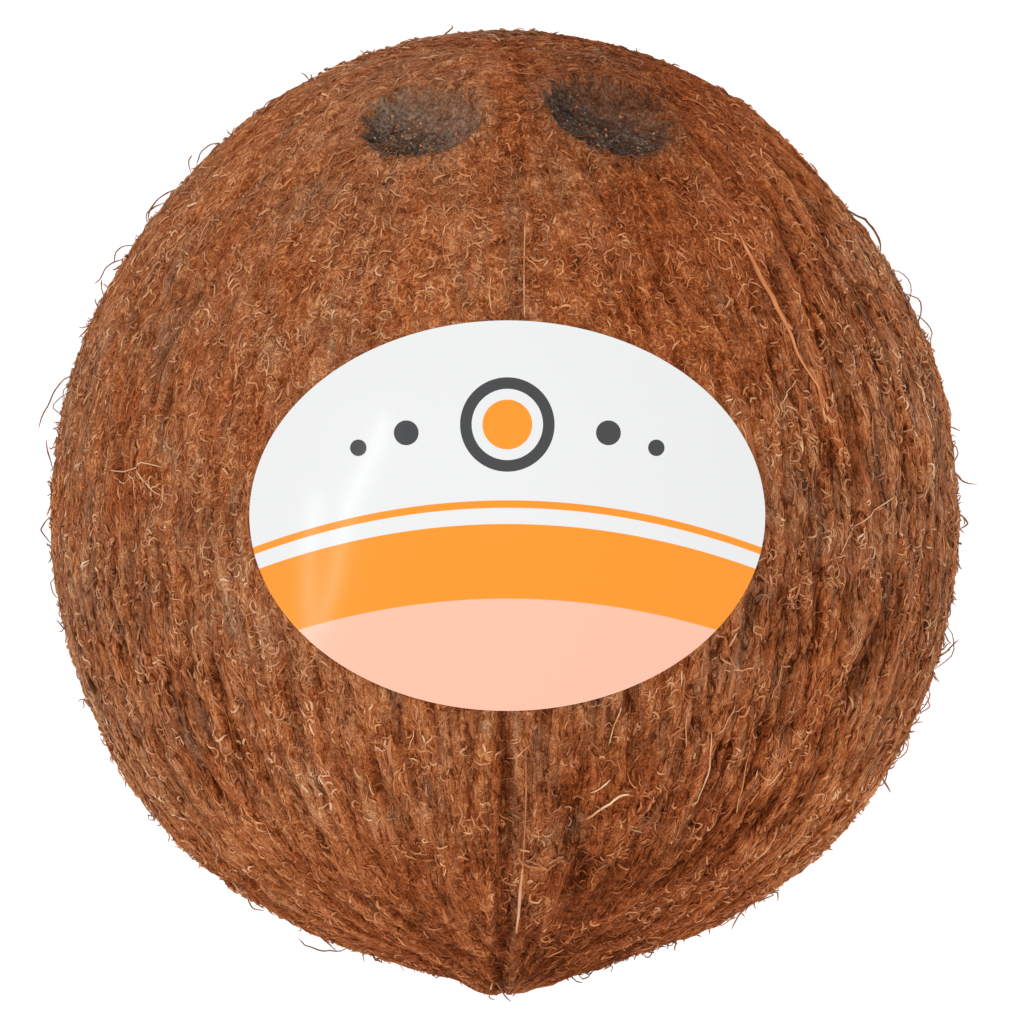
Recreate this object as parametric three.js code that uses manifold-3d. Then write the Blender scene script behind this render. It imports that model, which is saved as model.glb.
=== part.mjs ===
// A coconut out of its husk, lying on its side, with an oval paper label stuck on top. Millimetres, +Z up.
//
// The nut is first made in its own frame: its long axis is Z, its eye end is up, and the ridge that runs
// between the two front eyes faces -Y. Both of its ends are bent a little towards that ridge, so every line
// that runs from end to end lies in a plane through the chord between the two ends. The nut is then laid on
// its back, with the eye end a little raised, so that the ridge faces up and the nut rests on the flatter
// side between its other two ridges.
// The finished part's origin is the middle of the small flat spot that it rests on.
import * as THREE from "three";
import { mergeVertices } from "three/addons/utils/BufferGeometryUtils.js";
import Module from "manifold-3d";

// The nut: lengths from the middle of its belly.
const BELLY_RADIUS = 56.4;
const EYE_END_LENGTH = 61.6;
const BLUNT_END_LENGTH = 56.8; // where the other end would be without its point
const POINT_LENGTH = 61.1;
const POINT_BLUNTING = THREE.MathUtils.degToRad(5.4); // rounds the very tip off
const ENDS_BENT = THREE.MathUtils.degToRad(11.5); // each end, towards the front ridge

// Two bands round the nut that are a little hollow or full, with their latitudes and widths in degrees.
const BANDS = [
  { latitude: 42.5, width: 16, height: -0.8 },
  { latitude: -41, width: 13, height: 0.6 },
];

// Three ridges run from end to end, with a flatter side between each two.
const RIDGES = 3;
const RIDGE_HEIGHT = 0.8;

// The three eyes: the angle from the eye end's pole, the turn from the front ridge towards +X, the pit's radius
// across and along the nut, and its depth.
const EYES = [
  { fromPole: 21.8, turn: -29.9, across: 8.1, along: 7.1, depth: 2.6 },
  { fromPole: 21.2, turn: 39, across: 8.1, along: 8.3, depth: 2.8 },
  { fromPole: 21.6, turn: 183, across: 7.0, along: 6.6, depth: 1.9 },
];
const EYE_RIM_HEIGHT = 0.5;
const EYE_RIM_WIDTH = 0.22; // as a share of the pit's radius

// How it lies.
const EYE_END_RAISED = THREE.MathUtils.degToRad(4.5); // the chord between the two ends, from level
const FLAT_SPOT_DEPTH = 0.7; // how much of the round side the flat spot takes away

// The label: an oval as seen from straight above, once the nut lies down.
const LABEL_HALF_WIDTH = 31.3;
const LABEL_HALF_HEIGHT = 23.6;
const LABEL_THICKNESS = 0.3;
const LABEL_GAP = 0.3; // between the facets of the nut and of the label
const LABEL_OFFSET = new THREE.Vector2(0.25, 0.75); // of the oval's middle from the nut's

// How finely the surfaces are divided.
const TURN_STEPS = 80;
const LENGTH_STEPS = 44;
const EYE_END_CROWDING = 0.22; // draws the rings together round the eyes
const LABEL_TURN_STEPS = 48;
const LABEL_RINGS = 8;

const POINT_HALF_ANGLE = Math.asin(BLUNT_END_LENGTH / POINT_LENGTH);

// The unit vector at an angle from the eye end's pole and a turn from the front ridge towards +X.
function towards(fromPole, turn) {
  const out = Math.sin(fromPole);
  return new THREE.Vector3(out * Math.sin(turn), -out * Math.cos(turn), Math.cos(fromPole));
}

// A direction of an even nut, once both ends are bent towards the front ridge.
function bent(even) {
  const lean = Math.sin(ENDS_BENT);
  const shrunk = Math.cos(ENDS_BENT);
  const place = new THREE.Vector3(shrunk * even.x, even.y - lean, shrunk * even.z);
  return place.divideScalar(1 - lean * even.y);
}

// The direction of the even nut that bending puts here.
function unbent(direction) {
  const lean = Math.sin(ENDS_BENT);
  const shrunk = Math.cos(ENDS_BENT);
  const place = new THREE.Vector3(shrunk * direction.x, direction.y + lean, shrunk * direction.z);
  return place.divideScalar(1 + lean * direction.y);
}

const EYE_END = bent(towards(0, 0));

// A round body whose far end runs out into a cone that touches it all round.
function roundBody(upright) {
  if (upright >= 0) return BELLY_RADIUS + (EYE_END_LENGTH - BELLY_RADIUS) * upright ** 2;
  const fromPoint = Math.hypot(Math.acos(-upright), POINT_BLUNTING);
  const ball = BELLY_RADIUS + (BLUNT_END_LENGTH - BELLY_RADIUS) * upright ** 2;
  return ball / Math.sin(Math.min(Math.PI / 2, fromPoint + POINT_HALF_ANGLE));
}

// How far the bands stand out at this latitude.
function bandHeight(upright) {
  const latitude = THREE.MathUtils.radToDeg(Math.asin(upright));
  const height = (band) => band.height * Math.exp(-(((latitude - band.latitude) / band.width) ** 2));
  return BANDS.reduce((sum, band) => sum + height(band), 0);
}

// How much one eye takes off the surface: a bowl with a low rim round it.
function eyePit(eye, direction) {
  const middle = bent(towards(THREE.MathUtils.degToRad(eye.fromPole), THREE.MathUtils.degToRad(eye.turn)));
  const acrossNut = new THREE.Vector3().crossVectors(EYE_END, middle).normalize();
  const alongNut = new THREE.Vector3().crossVectors(middle, acrossNut);
  if (direction.dot(middle) < 0) return 0;
  const away = Math.hypot(
    (EYE_END_LENGTH * direction.dot(acrossNut)) / eye.across,
    (EYE_END_LENGTH * direction.dot(alongNut)) / eye.along,
  );
  const bowl = away < 1 ? eye.depth * (1 - away ** 2) ** 0.8 : 0;
  const rim = EYE_RIM_HEIGHT * Math.exp(-(((away - 1) / EYE_RIM_WIDTH) ** 2));
  return bowl - rim;
}

// The distance from the middle of the belly to the surface, in a direction of the nut's own frame.
function surfaceRadius(direction) {
  const even = unbent(direction);
  const upright = THREE.MathUtils.clamp(even.z, -1, 1);
  const turn = Math.atan2(even.x, -even.y);
  const ridges = RIDGE_HEIGHT * Math.cos(RIDGES * turn) * (1 - upright ** 2);
  const pits = EYES.reduce((sum, eye) => sum + eyePit(eye, direction), 0);
  return roundBody(upright) + bandHeight(upright) + ridges - pits;
}

// Moves every vertex of a geometry to where move(vertex) puts it, and returns the geometry closed.
function reshaped(geometry, move) {
  geometry.deleteAttribute("normal");
  geometry.deleteAttribute("uv");
  const places = geometry.getAttribute("position");
  const place = new THREE.Vector3();
  for (let i = 0; i < places.count; i++) {
    move(place.fromBufferAttribute(places, i));
    places.setXYZ(i, place.x, place.y, place.z);
  }
  return mergeVertices(geometry, 1e-3);
}

const nutToLying = new THREE.Matrix4().makeRotationX(EYE_END_RAISED - Math.PI / 2);
const lyingToNut = nutToLying.clone().invert();

// The nut, lying down, about the middle of its belly.
function nutGeometry() {
  const sphere = new THREE.SphereGeometry(1, TURN_STEPS, LENGTH_STEPS);
  sphere.rotateX(Math.PI / 2);
  return reshaped(sphere, (place) => {
    const even = Math.acos(THREE.MathUtils.clamp(place.z, -1, 1));
    const fromPole = even - EYE_END_CROWDING * Math.sin(2 * even) * Math.cos(even / 2) ** 2;
    const direction = bent(towards(fromPole, Math.atan2(place.x, -place.y)));
    place.copy(direction.multiplyScalar(surfaceRadius(direction))).applyMatrix4(nutToLying);
  });
}

// The height above the belly's middle of the lying nut's upper side, plus a lift, over a point of the plan.
function heightOverPlan(x, y, lift) {
  let height = BELLY_RADIUS;
  for (let round = 0; round < 30; round++) {
    const direction = new THREE.Vector3(x, y, height).normalize();
    const reach = surfaceRadius(direction.applyMatrix4(lyingToNut)) + lift;
    height = Math.sqrt(reach ** 2 - x ** 2 - y ** 2);
  }
  return height;
}

// The label: a thin disc, stretched to an oval and laid on the upper side.
function labelGeometry() {
  const profile = [];
  for (let ring = 0; ring <= LABEL_RINGS; ring++) profile.push(new THREE.Vector2(ring / LABEL_RINGS, 0));
  for (let ring = LABEL_RINGS; ring >= 0; ring--) profile.push(new THREE.Vector2(ring / LABEL_RINGS, 1));
  const disc = new THREE.LatheGeometry(profile, LABEL_TURN_STEPS);
  disc.rotateX(Math.PI / 2);
  return reshaped(disc, (place) => {
    const x = LABEL_OFFSET.x + LABEL_HALF_WIDTH * place.x;
    const y = LABEL_OFFSET.y + LABEL_HALF_HEIGHT * place.y;
    place.set(x, y, heightOverPlan(x, y, LABEL_GAP + LABEL_THICKNESS * place.z));
  });
}

const wasm = await Module();
wasm.setup();

function solidOf(geometry) {
  return new wasm.Manifold(
    new wasm.Mesh({
      numProp: 3,
      vertProperties: geometry.getAttribute("position").array,
      triVerts: new Uint32Array(geometry.index.array),
    }),
  );
}

function geometryOf(solid) {
  const mesh = solid.getMesh();
  return new THREE.BufferGeometry()
    .setAttribute("position", new THREE.BufferAttribute(mesh.vertProperties, 3))
    .setIndex(new THREE.BufferAttribute(mesh.triVerts, 1));
}

// The nut with its flat spot, and the middle of that spot.
function restingNut() {
  const round = nutGeometry();
  round.computeBoundingBox();
  const floor = round.boundingBox.min.z + FLAT_SPOT_DEPTH;
  const side = 4 * BELLY_RADIUS;
  const below = new THREE.BoxGeometry(side, side, side).translate(0, 0, floor - side / 2);
  const cut = geometryOf(solidOf(round).subtract(solidOf(reshaped(below, () => {}))));
  const spot = new THREE.Box3();
  const places = cut.getAttribute("position");
  const place = new THREE.Vector3();
  for (let i = 0; i < places.count; i++) {
    place.fromBufferAttribute(places, i);
    if (Math.abs(place.z - floor) < 1e-3) spot.expandByPoint(place);
  }
  return { geometry: cut, spot: spot.getCenter(new THREE.Vector3()) };
}

const huskFibre = new THREE.MeshStandardMaterial({ color: 0x8e5433, roughness: 0.9, metalness: 0 });
const labelPaper = new THREE.MeshStandardMaterial({ color: 0xf1f1ef, roughness: 0.35, metalness: 0 });

function named(name, geometry, material) {
  geometry.computeVertexNormals();
  const mesh = new THREE.Mesh(geometry, material);
  mesh.name = name;
  return mesh;
}

const nut = restingNut();
const coconut = new THREE.Group();
coconut.add(named("coconut", nut.geometry, huskFibre), named("label", labelGeometry(), labelPaper));
coconut.position.copy(nut.spot).negate();

export default coconut;
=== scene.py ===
"""The looks of a coconut out of its husk: matted coir, loose fibres, three eyes and an oval paper label.

Everything is worked out in the nut's own frame first, in metres: its long axis is Z, its eye end is up, and
the ridge between the two front eyes faces -Y. Both ends are bent a little towards that ridge. A place on
the nut is given as on an even one, by an angle from the eye end's pole ("from_pole") and a turn from that
ridge towards +X ("turn"), and then bent with it, so a line of one turn runs from end to end as the fibres
do. lie_down() lays the points on the nut's side, as the model lies.
"""

import bpy
import numpy as np
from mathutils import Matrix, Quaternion, Vector


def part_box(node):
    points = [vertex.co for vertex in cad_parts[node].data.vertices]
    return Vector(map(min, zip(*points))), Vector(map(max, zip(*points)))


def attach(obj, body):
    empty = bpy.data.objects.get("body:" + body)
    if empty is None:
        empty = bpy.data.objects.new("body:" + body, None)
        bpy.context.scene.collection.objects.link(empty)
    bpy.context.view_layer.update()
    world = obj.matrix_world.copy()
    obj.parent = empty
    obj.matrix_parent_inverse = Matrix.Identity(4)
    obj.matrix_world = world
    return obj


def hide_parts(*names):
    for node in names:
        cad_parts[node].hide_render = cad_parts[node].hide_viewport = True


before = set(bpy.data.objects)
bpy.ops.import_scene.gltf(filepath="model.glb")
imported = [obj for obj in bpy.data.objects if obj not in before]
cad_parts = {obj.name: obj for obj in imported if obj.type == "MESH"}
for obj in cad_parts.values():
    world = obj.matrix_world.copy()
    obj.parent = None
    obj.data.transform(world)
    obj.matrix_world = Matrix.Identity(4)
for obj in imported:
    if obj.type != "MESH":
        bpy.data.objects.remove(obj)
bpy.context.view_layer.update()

MM = 0.001
SEED = 20
FAR_AWAY = 9.0  # from an eye or the label, on the other side of the nut

# The camera: straight over the nut.
PICTURE = 1024
PIXEL = 0.125 * MM  # what one pixel of the picture spans at the height of the belly's middle
CAMERA_DISTANCE = 1.6  # above the belly's middle
CAMERA_ASIDE = (6.5 * PIXEL, -2.0 * PIXEL)  # from the middle of the nut's box

# The nut, from the middle of its belly.
BELLY_RADIUS = 56.4 * MM
EYE_END_LENGTH = 61.6 * MM
BLUNT_END_LENGTH = 56.8 * MM
POINT_LENGTH = 61.1 * MM
POINT_BLUNTING = np.radians(5.4)
POINT_HALF_ANGLE = np.arcsin(BLUNT_END_LENGTH / POINT_LENGTH)
BANDS = ((42.5, 16, -0.8 * MM), (-41, 13, 0.6 * MM))  # latitude, width, height
RIDGES = 3
RIDGE_HEIGHT = 0.8 * MM
SEAM_TURN = 0.014  # how far each ridge's seam lies beside the ridge
ENDS_BENT = np.radians(11.5)  # each end, towards the front ridge
EYE_END_RAISED = np.radians(4.5)  # the chord between the two ends, from level

# The eyes: from the pole, turn, radius across, radius along, depth.
EYES = (
    (21.8, -29.9, 8.1 * MM, 7.1 * MM, 2.9 * MM),
    (21.2, 39, 8.1 * MM, 8.3 * MM, 3.1 * MM),
    (21.6, 183, 7.0 * MM, 6.6 * MM, 2.0 * MM),
)
EYE_RIM_HEIGHT = 0.5 * MM
EYE_RIM_WIDTH = 0.22
EYE_WALL_POWER = 0.55  # below 1, so that a pit's wall is steep and its floor is flat
EYES_DUST_AND_LIGHT = (1.0, 0.10, 0.4)  # lightening up each pit's wall: partly dust, partly painted light
CRUMBS = 450
CRUMB_SEED = 220

# The matted coir's own grid: steps round the nut and from end to end.
COIR_COLUMNS = 600
COIR_ROWS = 156
EYE_END_CROWDING = 0.45  # how much closer the rows are at the eye end
COIR_SUNK = 0.15 * MM  # how far it lies under the model's surface, to leave room for the strands
FLAT_SPOT_RIM = 0.02 * MM

LABEL_HALF_WIDTH = 31.3 * MM
LABEL_HALF_HEIGHT = 23.6 * MM
LABEL_OFFSET = (0.25 * MM, 0.75 * MM)
LABEL_LIFT = 0.35 * MM
LABEL_THICKNESS = 0.18 * MM
LABEL_COLUMNS = 160
LABEL_RINGS = 16

# The label's print, in millimetres from its middle: the level, half width and ink of each band, which bows
# up, and the middle, radius, half width and ink of each ring. A disc is a ring of no radius.
WHITE_PAPER = (0.665, 0.67, 0.67, 1)
ORANGE_INK = (0.82, 0.250, 0.004, 1)
PEACH_INK = (0.80, 0.435, 0.310, 1)
DARK_INK = (0.035, 0.036, 0.038, 1)
PRINT_BOW = 0.006
PRINTED_BANDS = ((-5.5, 4.5, ORANGE_INK), (-30.0, 20.0, PEACH_INK), (1.4, 0.45, ORANGE_INK))
PRINTED_RINGS = (
    (0, 11.0, 5.0, 0.7, DARK_INK),
    (0, 11.0, 0, 3.0, ORANGE_INK),
    (-12.2, 10.0, 0, 1.5, DARK_INK),
    (12.2, 10.0, 0, 1.5, DARK_INK),
    (-18.0, 8.2, 0, 1.0, DARK_INK),
    (18.0, 8.2, 0, 1.0, DARK_INK),
)

# Coir's colours, evenly spaced from a dark crevice to a pale fibre, and the bare shell's in the eyes.
RUSTY_COIR = (
    (0.048, 0.009, 0.002), (0.155, 0.032, 0.007), (0.378, 0.096, 0.027), (0.660, 0.260, 0.095),
    (0.900, 0.610, 0.370),
)
BROWN_COIR = (
    (0.048, 0.012, 0.003), (0.150, 0.038, 0.010), (0.348, 0.116, 0.044), (0.600, 0.280, 0.130),
    (0.900, 0.670, 0.440),
)
GREY_COIR = (
    (0.046, 0.018, 0.009), (0.122, 0.045, 0.021), (0.265, 0.122, 0.066), (0.490, 0.285, 0.165),
    (0.810, 0.620, 0.460),
)
BARE_SHELL = ((0.025, 0.017, 0.014), (0.070, 0.046, 0.034), (0.182, 0.120, 0.084), (0.320, 0.220, 0.156))

# Strands that stand out, each laid as listed: its half width in millimetres, its tone, and the places it
# goes through, in pixels across and down the picture. A place's third number is its height off the coir
# in millimetres.
STRAWS = (
    (0.38, 0.67, ((737, 229), (751, 256), (767, 287), (783, 320), (804, 362))),
    (0.20, 0.72, ((748, 250), (764, 280), (783, 319), (806, 368), (824, 398), (836, 420))),
    (0.13, 0.62, ((735, 225), (758, 272), (782, 317), (792, 360))),
    (0.10, 0.62, ((526, 742), (526, 790), (525, 830), (523, 862), (521, 890))),
    (0.22, 0.76, ((523, 866), (520, 890), (519, 912), (516, 938))),
)
STRAW_LIFTS = (0.30, 0.28, 0.15, 0.15, 0.20)
STRAW_HUES = (0.12, 0.15, 0.2, 0.55, 0.6)
PICKED_FIBRES = (
    (0.12, 0.80, ((907, 487), (862, 522), (847, 535), (840, 560))),
    (0.10, 0.84, ((800, 377), (790, 392), (780, 407))),
    (0.12, 0.84, ((105, 470), (125, 472), (140, 462), (165, 468))),
    (0.10, 0.80, ((125, 472), (135, 485), (130, 500))),
    (0.12, 0.86, ((132, 468), (142, 478), (152, 492), (160, 497))),
    (0.09, 0.76, ((110, 476), (122, 484), (134, 474))),
    (0.19, 0.84, ((584, 822), (600, 811), (614, 801), (626, 794), (636, 797))),
    (0.12, 0.86, ((590, 795), (600, 788), (612, 780))),
    (0.15, 0.82, ((714, 730), (710, 752), (709, 772), (700, 798), (694, 810))),
    (0.09, 0.80, ((738, 704), (728, 720), (724, 730), (716, 738))),
    (0.08, 0.80, ((782, 664), (778, 688), (774, 702))),
    (0.12, 0.74, ((692, 702), (686, 716), (686, 730), (688, 752))),
    (0.13, 0.80, ((622, 706), (614, 726), (609, 748))),
    (0.12, 0.80, ((650, 688), (648, 702))),
    (0.12, 0.80, ((682, 670), (682, 688))),
    (0.14, 0.70, ((753, 748), (744, 780), (740, 800), (736, 820))),
    (0.12, 0.78, ((525, 220), (524, 260), (524, 300), (525, 322))),
    (0.13, 0.78, ((491, 275), (489, 295), (492, 315))),
)
OUTLINE_TONE = 0.42  # of all the hairs round the outline, whose rows leave it out
OUTLINE_HAIRS = (
    (0.22, ((845, 204, 0.2), (853, 214, 0.8), (866, 230, 1.1), (875, 243, 0.9), (884, 258, 0.1))),
    (0.14, ((961, 467, 0.1), (962, 480, 0.8), (963, 484, 1.6), (963, 486, 3.2))),
    (0.12, ((960, 440, 0.0), (962, 446, 0.9), (962, 453, 1.1), (961, 465, 0.3))),
    (0.14, ((961, 512, 0.1), (962, 518, 1.0), (962, 524, 1.4), (961, 530, 0.2))),
    (0.14, ((955, 566, 0.2), (956, 563, 1.0), (956, 569, 1.5))),
    (0.14, ((940, 661, 0.1), (944, 648, 0.9), (948, 636, 2.1))),
    (0.15, ((885, 780, 0.1), (886, 784, 0.9), (885, 789, 2.3))),
    (0.14, ((147, 223, 0.1), (153, 213, 1.0), (160, 204, 1.2), (168, 193, 0.7), (176, 183, 0.1))),
    (0.13, ((133, 243, 0.1), (127, 249, 1.1), (122, 257, 1.5), (118, 266, 1.2))),
    (0.12, ((308, 78, 0.1), (305, 74, 0.8), (302, 76, 1.5))),
    (0.14, ((352, 948, 0.1), (340, 944, 1.0), (326, 939, 1.7), (312, 933, 2.0), (302, 928, 2.2))),
    (0.12, ((318, 935, 0.2), (330, 940, 0.6), (340, 944, 1.0))),
    (0.16, ((371, 956, 0.1), (376, 957, 0.9), (384, 961, 0.6))),
    (0.14, ((246, 898, 0.2), (256, 905, 0.9), (266, 909, 0.5))),
    (0.14, ((495, 986, 0.2), (503, 989, 0.9), (512, 989, 1.3))),
    (0.14, ((520, 985, 0.1), (526, 984, 0.9), (530, 985, 1.2))),
    (0.14, ((75, 371, 0.1), (66, 390, 1.5), (60, 408, 2.5), (56, 425, 3.0), (54, 434, 3.0))),
    (0.13, ((55, 440, 1.7), (53, 452, 1.2), (52, 470, 0.1))),
    (0.14, ((51, 517, 0.1), (50, 524, 0.7), (50, 530, 1.2), (51, 543, 0.1))),
    (0.13, ((221, 142, 0.1), (212, 149, 0.8), (204, 157, 1.1), (197, 166, 0.4))),
    (0.12, ((190, 173, 0.1), (191, 169, 0.9), (192, 165, 1.5), (197, 160, 1.7))),
    (0.13, ((126, 258, 0.2), (121, 266, 1.2), (117, 275, 1.9), (112, 286, 1.9), (108, 293, 2.4))),
    (0.12, ((112, 286, 1.8), (108, 292, 1.2), (105, 299, 0.2))),
    (0.12, ((100, 312, 0.1), (101, 306, 0.8), (102, 302, 1.4))),
    (0.12, ((165, 200, 0.1), (158, 208, 0.8), (151, 217, 1.0), (147, 224, 0.2))),
)


def smoothstep(low, high, x):
    """0 below low, 1 above high, and 3t^2 - 2t^3 between them."""
    t = np.clip((x - low) / (high - low), 0, 1)
    return t * t * (3 - 2 * t)


def bell(x, width):
    """exp(-(x / width)^2)."""
    return np.exp(-((x / width) ** 2))


def columns(*parts):
    """Arrays or numbers side by side along a new last axis."""
    return np.stack(np.broadcast_arrays(*parts), axis=-1)


def unit(vectors):
    """Each vector over its own length."""
    return vectors / np.maximum(np.linalg.norm(vectors, axis=-1, keepdims=True), 1e-12)


def bent(even, lean):
    """An even nut's unit vectors with both ends bent by an angle a: (c x, y - s, c z) / (1 - s y), where s
    is sin a and c is cos a. The opposite angle takes them back."""
    s, c = np.sin(lean), np.cos(lean)
    return (even * [c, 1, c] - [0, s, 0]) / (1 - s * even[..., 1:2])


def towards(from_pole, turn):
    """The even nut's unit vector (sin p sin t, -sin p cos t, cos p), bent."""
    out = np.sin(from_pole)
    return bent(columns(out * np.sin(turn), -out * np.cos(turn), np.cos(from_pole)), ENDS_BENT)


def angles_of(direction):
    """The angle from the pole and the turn of each unit vector."""
    even = bent(direction, -ENDS_BENT)
    return np.arccos(np.clip(even[..., 2], -1, 1)), np.arctan2(even[..., 0], -even[..., 1])


EYE_END = towards(0.0, 0.0)
POINT_END = towards(np.pi, 0.0)


def hashed_noise(points, seed):
    """Smooth heights, about -1 to 1, that change over one unit: random slopes at the corners of a unit
    lattice, each carried to the point and blended by 6t^5 - 15t^4 + 10t^3."""
    rng = np.random.default_rng(seed)
    shuffle = rng.permutation(256)
    slopes = unit(rng.normal(size=(256, 3)))
    cell = np.floor(points).astype(np.int64)
    inside = points - cell
    fade = inside**3 * (inside * (inside * 6 - 15) + 10)
    total = np.zeros(points.shape[:-1])
    for corner in np.ndindex(2, 2, 2):
        at = (cell + corner) & 255
        pick = shuffle[(shuffle[(shuffle[at[..., 0]] + at[..., 1]) & 255] + at[..., 2]) & 255]
        share = np.prod(np.where(np.array(corner) == 1, fade, 1 - fade), axis=-1)
        total += share * np.sum(slopes[pick] * (inside - corner), axis=-1)
    return total * 1.6


def patches(direction, size, number):
    """Noise whose cells are size millimetres wide every way. Each number gives a noise of its own."""
    return hashed_noise(direction * BELLY_RADIUS / (size * MM), SEED + number)


def eye_end_share(from_pole):
    """1 at the eye end's pole, where the fibres run from side to side, and 0 from 20 degrees off it."""
    return 1 - smoothstep(np.radians(9), np.radians(20), from_pole)


def grain(direction, across, along, number):
    """Noise whose cells are drawn out along the fibres, with their sizes in millimetres: it is read on the
    wall of a cylinder of the belly's radius. Towards the ends, where its streaks close up, it fades to
    cylinders a half, a quarter and an eighth as wide."""
    from_pole, turn = angles_of(direction)
    run = turn + 0.035 * patches(direction, 13, 1)
    level = np.log2(1 / np.maximum(np.sin(from_pole), 0.125))
    total, power = 0.0, 0.0
    for halvings in range(4):
        weight = np.clip(1 - np.abs(level - halvings), 0, 1)
        wide = across * MM * 2**halvings
        wall = columns(np.sin(run) / wide, np.cos(run) / wide, from_pole / (along * MM)) * BELLY_RADIUS
        total = total + weight * hashed_noise(wall, SEED + number + 100 * halvings)
        power = power + weight**2
    return total / np.sqrt(power)


def eye_distance(direction, eye):
    """How far each direction is from an eye's middle, where its rim is at 1."""
    middle = towards(*np.radians(eye[:2]))
    across = unit(np.cross(EYE_END, middle))
    along = np.cross(middle, across)
    aside, up = direction @ across * EYE_END_LENGTH, direction @ along * EYE_END_LENGTH
    return np.where(direction @ middle > 0, np.hypot(aside / eye[2], up / eye[3]), FAR_AWAY)


def nearest_eye(direction):
    """The distance to the nearest eye."""
    return np.min([eye_distance(direction, eye) for eye in EYES], axis=0)


def model_reach(direction):
    """The nut's plain surface, as in the model: the distance from the belly's middle in each direction."""
    from_pole, turn = angles_of(direction)
    upright = np.cos(from_pole)
    latitude = 90 - np.degrees(from_pole)
    head = BELLY_RADIUS + (EYE_END_LENGTH - BELLY_RADIUS) * upright**2
    tail = BELLY_RADIUS + (BLUNT_END_LENGTH - BELLY_RADIUS) * upright**2
    from_point = np.hypot(np.pi - from_pole, POINT_BLUNTING)
    cone = tail / np.sin(np.minimum(np.pi / 2, from_point + POINT_HALF_ANGLE))
    reach = np.where(upright >= 0, head, cone)
    for band_latitude, width, height in BANDS:
        reach = reach + height * bell(latitude - band_latitude, width)
    reach = reach + RIDGE_HEIGHT * np.cos(RIDGES * turn) * (1 - upright**2)
    for eye in EYES:
        away = eye_distance(direction, eye)
        bowl = eye[4] * np.clip(1 - away**2, 0, 1) ** EYE_WALL_POWER
        reach = reach - bowl + EYE_RIM_HEIGHT * bell(away - 1, EYE_RIM_WIDTH)
    return reach


def row_angles():
    """The angle from the pole of each row of the coir's grid but the two poles: pi (s - c s (1 - s)^2),
    where s is the row's share of the way and c the crowding."""
    share = np.arange(1, COIR_ROWS) / COIR_ROWS
    return np.pi * (share - EYE_END_CROWDING * share * (1 - share) ** 2)


def grid_directions():
    """The directions of the coir's grid, one row for each angle from the pole."""
    turn = 2 * np.pi * np.arange(COIR_COLUMNS) / COIR_COLUMNS - np.pi
    return towards(*np.meshgrid(row_angles(), turn, indexing="ij"))


def tip_over(points, tip):
    """A turn about X."""
    x, y, z = (points[..., i] for i in range(3))
    return columns(x, np.cos(tip) * y - np.sin(tip) * z, np.sin(tip) * y + np.cos(tip) * z)


def turned(points):
    """Nut frame to lying frame: the eye end comes down to its raise."""
    return tip_over(points, EYE_END_RAISED - np.pi / 2)


def turned_back(points):
    """Lying frame to nut frame."""
    return tip_over(points, np.pi / 2 - EYE_END_RAISED)


def belly_middle():
    """Where the middle of the belly is in the row frame: the model's box, less the plain surface's own."""
    direction = grid_directions()
    lying = turned(direction * model_reach(direction)[..., None]).reshape(-1, 3)
    low, high = (np.array(corner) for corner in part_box("coconut"))
    return np.array([(low[0] + high[0]) / 2, high[1] - lying[:, 1].max(), high[2] - lying[:, 2].max()])


MIDDLE = belly_middle()
LABEL_MIDDLE = MIDDLE[:2] + LABEL_OFFSET


def lie_down(points):
    """Nut frame to row frame."""
    return turned(points) + MIDDLE


def camera_place():
    """Over the middle of the nut's box, a little aside."""
    low, high = (np.array(corner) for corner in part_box("coconut"))
    middle = (low + high)[:2] / 2 + CAMERA_ASIDE
    return np.array([middle[0], middle[1], MIDDLE[2] + CAMERA_DISTANCE])


CAMERA_PLACE = camera_place()


def under_pixel(pixels):
    """The directions of the places under pixels (across, down) of the picture: a point slides along the
    camera's ray until its distance from the belly's middle is the surface's."""
    aside = (np.asarray(pixels, float) - PICTURE / 2) * PIXEL * (1, -1)
    height = np.full(aside.shape[:-1], 40 * MM)
    for _ in range(60):
        plan = CAMERA_PLACE[:2] + aside * (1 - height / CAMERA_DISTANCE)[..., None] - MIDDLE[:2]
        away = unit(np.concatenate([plan, height[..., None]], axis=-1))
        room = model_reach(turned_back(away)) ** 2 - np.sum(plan**2, axis=-1)
        height = (height + np.sqrt(np.maximum(room, 1e-8))) / 2
    return turned_back(away)


def label_distance(direction):
    """How far each direction's surface is from the label's middle in plan, where the label's edge is 1."""
    placed = lie_down(direction * BELLY_RADIUS)
    aside = (placed[..., :2] - LABEL_MIDDLE) / (LABEL_HALF_WIDTH, LABEL_HALF_HEIGHT)
    away = np.hypot(aside[..., 0], aside[..., 1])
    return np.where(placed[..., 2] > MIDDLE[2], away, FAR_AWAY)


def seam_offsets(direction):
    """How far a place is from each ridge's seam, measured round the nut in millimetres."""
    from_pole, turn = angles_of(direction)
    for ridge in range(RIDGES):
        off = (turn - SEAM_TURN - ridge * 2 * np.pi / RIDGES + np.pi) % (2 * np.pi) - np.pi
        yield off * BELLY_RADIUS * np.sin(from_pole) / MM


def lower_share(from_pole):
    """0 on the half of the nut with the eyes and 1 on the half with the point."""
    return smoothstep(1.45, 1.75, from_pole)


def aside_and_up(direction):
    """How far each direction points to the right and towards the eye end of the lying nut."""
    lying = turned(direction)
    return lying[..., 0], lying[..., 1]


def painted_sheen(aside, up):
    """0 over most of the lying nut, as seen from above, and 1 at its outline, where sheen is painted."""
    return smoothstep(0.86, 0.98, np.hypot(aside, up))


def furrow_share(direction):
    """How plainly furrows run between strips of coir: most at the point and the right, least by the eyes."""
    aside, up = aside_and_up(direction)
    share = 0.70 * smoothstep(-0.1, 0.6, 0.1 - up) + 0.48 * smoothstep(0.4, 0.9, -aside)
    return np.clip(share + smoothstep(0.3, 0.75, aside), 0.12, 1)


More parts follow.
